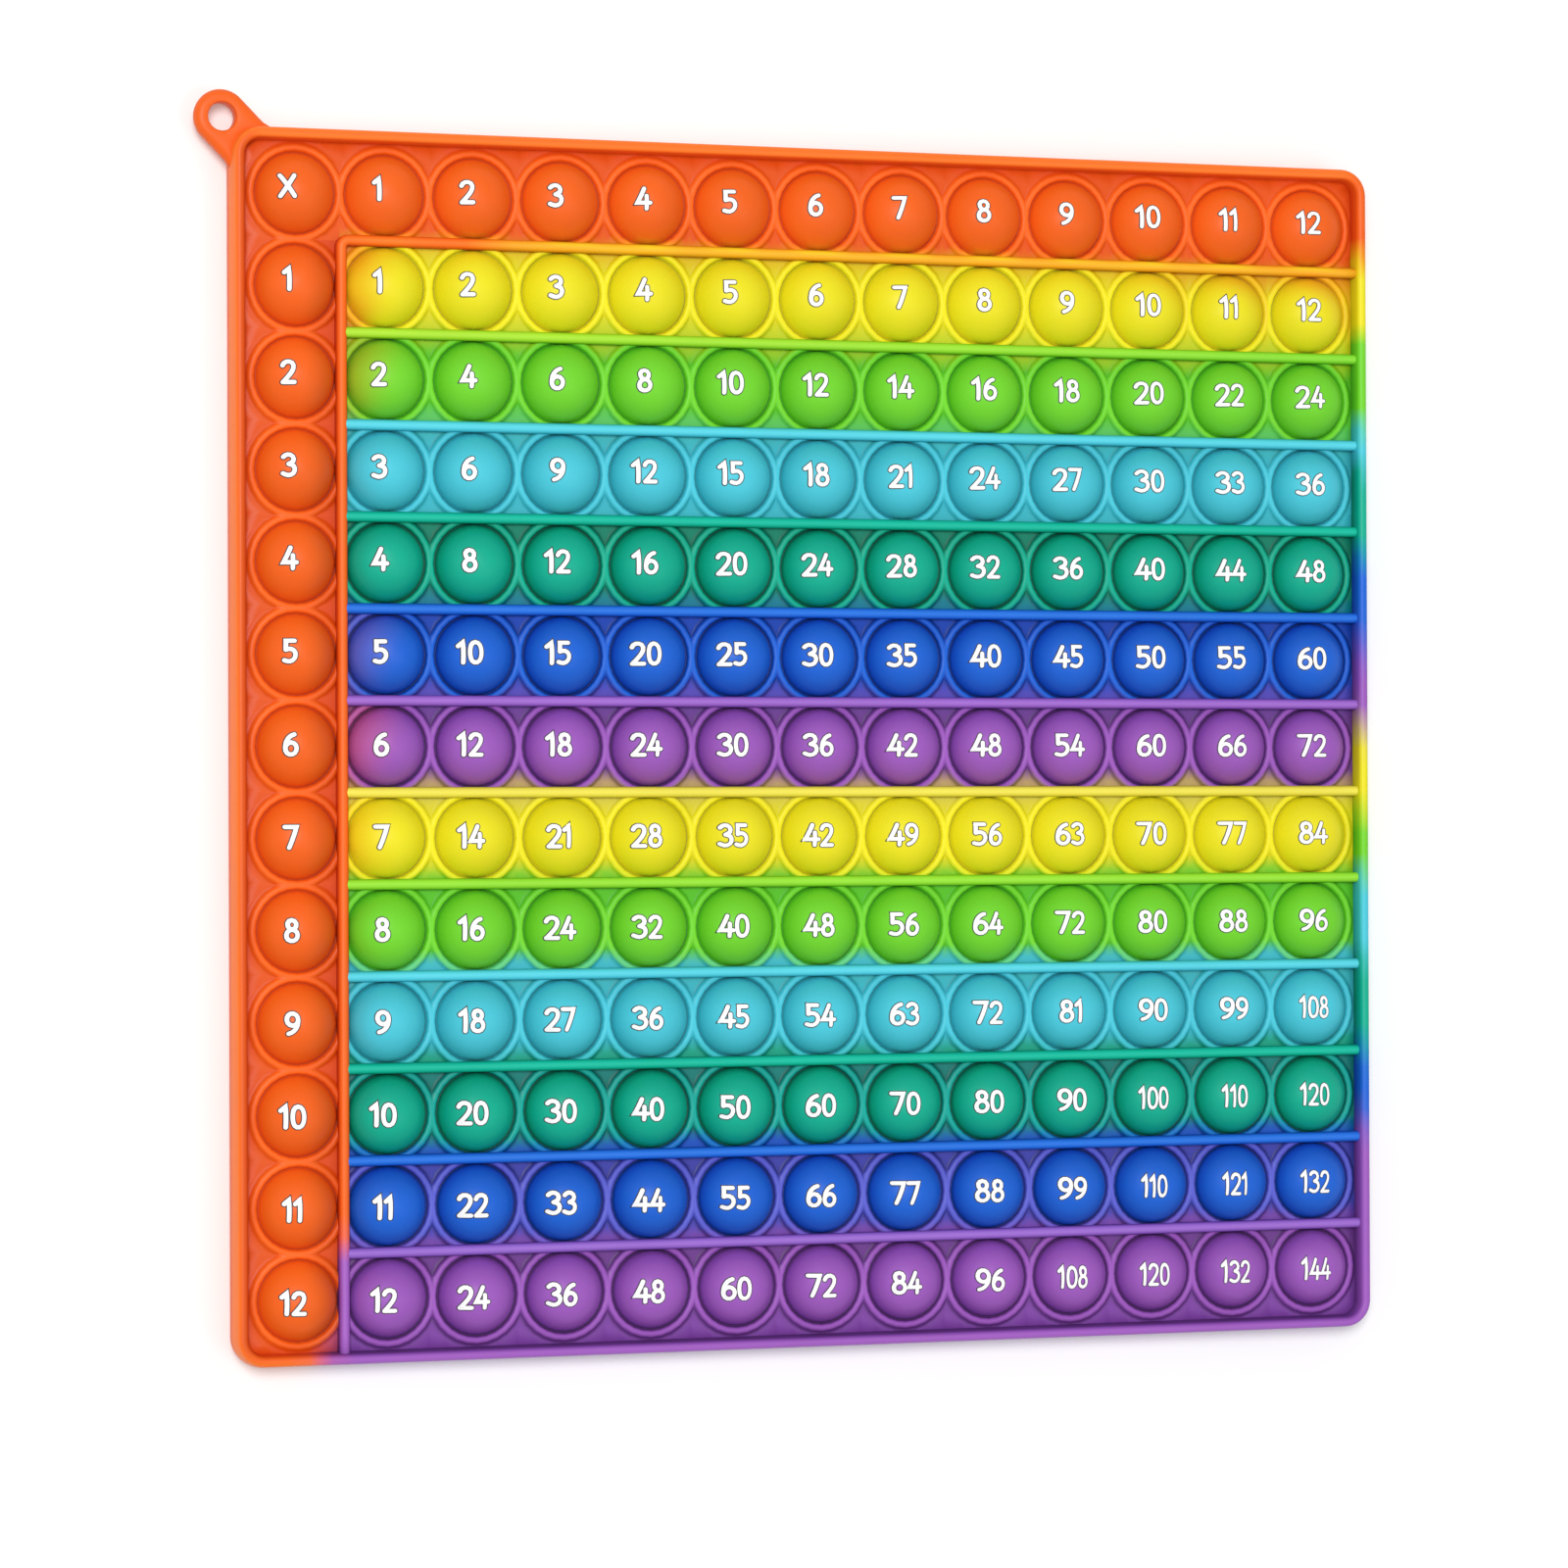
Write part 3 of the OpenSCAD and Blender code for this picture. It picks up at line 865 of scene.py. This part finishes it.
def silicone_material():
    """Matte moulded silicone: the laid colours with their painted shade, slightly cloudy, with a
    fine dry surface.
    """
    mat = bpy.data.materials.new("Moulded silicone")
    mat.use_nodes = True
    nodes, links = mat.node_tree.nodes, mat.node_tree.links
    shader = nodes["Principled BSDF"]
    shader.inputs["IOR"].default_value = 1.41
    shader.inputs["Specular IOR Level"].default_value = 0.38
    colour = nodes.new("ShaderNodeAttribute")
    colour.attribute_name = "silicone_colour_and_shading"
    coords = nodes.new("ShaderNodeTexCoord")
    cloud = nodes.new("ShaderNodeTexNoise")
    cloud.inputs["Scale"].default_value = 45.0
    cloud.inputs["Detail"].default_value = 3.0
    links.new(coords.outputs["Object"], cloud.inputs["Vector"])
    tone = nodes.new("ShaderNodeMapRange")
    tone.inputs["From Min"].default_value = 0.3
    tone.inputs["From Max"].default_value = 0.7
    tone.inputs["To Min"].default_value = 0.97
    tone.inputs["To Max"].default_value = 1.03
    links.new(cloud.outputs["Fac"], tone.inputs["Value"])
    mix = nodes.new("ShaderNodeMix")
    mix.data_type = "RGBA"
    mix.blend_type = "MULTIPLY"
    mix.inputs["Factor"].default_value = 1.0
    links.new(colour.outputs["Color"], mix.inputs["A"])
    links.new(tone.outputs["Result"], mix.inputs["B"])
    links.new(mix.outputs["Result"], shader.inputs["Base Color"])
    skin = nodes.new("ShaderNodeTexNoise")
    skin.inputs["Scale"].default_value = 1400.0
    skin.inputs["Detail"].default_value = 2.0
    links.new(coords.outputs["Object"], skin.inputs["Vector"])
    rough = nodes.new("ShaderNodeMapRange")
    rough.inputs["To Min"].default_value = 0.40
    rough.inputs["To Max"].default_value = 0.52
    links.new(cloud.outputs["Fac"], rough.inputs["Value"])
    links.new(rough.outputs["Result"], shader.inputs["Roughness"])
    bump = nodes.new("ShaderNodeBump")
    bump.inputs["Strength"].default_value = 0.06
    bump.inputs["Distance"].default_value = 0.0001
    links.new(skin.outputs["Fac"], bump.inputs["Height"])
    links.new(bump.outputs["Normal"], shader.inputs["Normal"])
    return mat


def ink_material(name, colour, roughness):
    """Screen-printed ink with a slightly uneven coat."""
    mat = bpy.data.materials.new(name)
    mat.use_nodes = True
    nodes, links = mat.node_tree.nodes, mat.node_tree.links
    shader = nodes["Principled BSDF"]
    shader.inputs["Base Color"].default_value = (*colour, 1.0)
    shader.inputs["Roughness"].default_value = roughness
    coords = nodes.new("ShaderNodeTexCoord")
    coat = nodes.new("ShaderNodeTexNoise")
    coat.inputs["Scale"].default_value = 900.0
    coat.inputs["Detail"].default_value = 2.0
    links.new(coords.outputs["Object"], coat.inputs["Vector"])
    bump = nodes.new("ShaderNodeBump")
    bump.inputs["Strength"].default_value = 0.05
    bump.inputs["Distance"].default_value = 0.00005
    links.new(coat.outputs["Fac"], bump.inputs["Height"])
    links.new(bump.outputs["Normal"], shader.inputs["Normal"])
    return mat


def stage_material(name, colour, roughness):
    """One plain colour, for what stands round the board."""
    mat = bpy.data.materials.new(name)
    mat.use_nodes = True
    shader = mat.node_tree.nodes["Principled BSDF"]
    shader.inputs["Base Color"].default_value = (*colour, 1.0)
    shader.inputs["Roughness"].default_value = roughness
    return mat


def finished_object(name, bm, material):
    """Makes an object from a mesh in millimetres, its place kept in the mesh."""
    bmesh.ops.scale(bm, vec=(MM, MM, MM), verts=bm.verts)
    mesh = bpy.data.meshes.new(name)
    bm.to_mesh(mesh)
    bm.free()
    mesh.materials.append(material)
    obj = bpy.data.objects.new(name, mesh)
    bpy.context.scene.collection.objects.link(obj)
    return obj


# Stage

# The camera that fits the photo, in metres and degrees
CAMERA_PLACE = (-0.387412, -0.020713, 1.120245)
CAMERA_TURN = (0.491436, -18.966449, -0.230888)
# Its focal length and the photo's width in pixels, and the width of its sensor in millimetres
FOCAL_PX = 5381.0
PHOTO_PX = 1600.0
SENSOR_W = 36.0
# Half the floor's width, in metres
FLOOR_REACH = 3.0


def add_to_stage(obj):
    bpy.context.scene.collection.objects.link(obj)


def add_softbox(name, place, size, power):
    """A rectangular light that faces the middle of the board."""
    light = bpy.data.lights.new(name, "AREA")
    light.shape = "RECTANGLE"
    light.size, light.size_y = size
    light.energy = power
    obj = bpy.data.objects.new(name, light)
    obj.location = place
    obj.rotation_euler = (-Vector(place)).to_track_quat("-Z", "Y").to_euler()
    add_to_stage(obj)


def add_camera(scene):
    data = bpy.data.cameras.new("camera")
    data.sensor_width = SENSOR_W
    data.lens = FOCAL_PX / PHOTO_PX * SENSOR_W
    data.clip_start, data.clip_end = 0.05, 20.0
    camera = bpy.data.objects.new("camera", data)
    camera.location = CAMERA_PLACE
    camera.rotation_euler = Euler([math.radians(a) for a in CAMERA_TURN], "XYZ")
    scene.collection.objects.link(camera)
    scene.camera = camera


# Operators


class MESH_OT_bubble_board_moulding(bpy.types.Operator):
    """Build the silicone moulding with its laid colours and painted shade"""

    bl_idname = "mesh.bubble_board_moulding"
    bl_label = "Moulding"

    def execute(self, context):
        bm = build_board(shape_mm(), row_palette())
        board = finished_object("board_moulding", bm, silicone_material())
        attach(board, "root")
        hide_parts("board")
        return {"FINISHED"}


class MESH_OT_bubble_board_numbers(bpy.types.Operator):
    """Print the numbers on the bubbles, each with its thin dark edge"""

    bl_idname = "mesh.bubble_board_numbers"
    bl_label = "Numbers"

    def execute(self, context):
        s, n = shape_mm(), context.scene.bubble_board_numbers
        c = context.scene.bubble_board_colours
        half = n.pen / MM / 2
        edge = finished_object(
            "number_edges", build_numbers(s, n, half + n.edge / MM, EDGE_RISE),
            ink_material("Dark ink edge", c.ink_edge, 0.6))
        face = finished_object(
            "number_faces", build_numbers(s, n, half, FACE_RISE),
            ink_material("White ink", c.ink, 0.5))
        for piece in (edge, face):
            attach(piece, "root")
        return {"FINISHED"}


class SCENE_OT_bubble_board_stage(bpy.types.Operator):
    """Add the floor, the soft lights and the camera"""

    bl_idname = "scene.bubble_board_stage"
    bl_label = "Stage"

    def execute(self, context):
        scene = context.scene
        scene.view_settings.view_transform = "Standard"
        bm = bmesh.new()
        bmesh.ops.create_grid(bm, x_segments=1, y_segments=1, size=FLOOR_REACH)
        mesh = bpy.data.meshes.new("floor")
        bm.to_mesh(mesh)
        bm.free()
        mesh.materials.append(stage_material("Pale floor", (0.92, 0.92, 0.92), 0.8))
        add_to_stage(bpy.data.objects.new("floor", mesh))

        world = bpy.data.worlds.new("Studio")
        world.use_nodes = True
        background = world.node_tree.nodes["Background"]
        background.inputs["Color"].default_value = (1.0, 1.0, 1.0, 1.0)
        background.inputs["Strength"].default_value = 0.46
        scene.world = world

        add_softbox("key_light", (-0.72, 0.42, 2.3), (1.0, 0.8), 41.0)
        add_softbox("fill_light", (0.9, -0.5, 1.8), (1.0, 1.0), 4.0)
        add_camera(scene)
        return {"FINISHED"}


class VIEW3D_PT_bubble_board(bpy.types.Panel):
    """Sizes, colours and build steps of the bubble board"""

    bl_idname = "VIEW3D_PT_bubble_board"
    bl_label = "Bubble Board"
    bl_space_type = "VIEW_3D"
    bl_region_type = "UI"
    bl_category = "Bubble Board"

    def draw(self, context):
        layout = self.layout
        for group in ("bubble_board_shape", "bubble_board_colours", "bubble_board_numbers"):
            props = getattr(context.scene, group)
            box = layout.box()
            for key in props.__annotations__:
                box.prop(props, key)
        for operator in (MESH_OT_bubble_board_moulding, MESH_OT_bubble_board_numbers,
                         SCENE_OT_bubble_board_stage):
            layout.operator(operator.bl_idname)


CLASSES = (BubbleBoardShape, BubbleBoardColours, BubbleBoardNumbers,
           MESH_OT_bubble_board_moulding, MESH_OT_bubble_board_numbers,
           SCENE_OT_bubble_board_stage, VIEW3D_PT_bubble_board)
GROUPS = {"bubble_board_shape": BubbleBoardShape, "bubble_board_colours": BubbleBoardColours,
          "bubble_board_numbers": BubbleBoardNumbers}


def register():
    for cls in CLASSES:
        bpy.utils.register_class(cls)
    for name, group in GROUPS.items():
        setattr(bpy.types.Scene, name, bpy.props.PointerProperty(type=group))


def unregister():
    for name in GROUPS:
        delattr(bpy.types.Scene, name)
    for cls in reversed(CLASSES):
        bpy.utils.unregister_class(cls)


def main():
    register()
    bpy.ops.mesh.bubble_board_moulding()
    bpy.ops.mesh.bubble_board_numbers()
    bpy.ops.scene.bubble_board_stage()


if __name__ == "__main__":
    main()
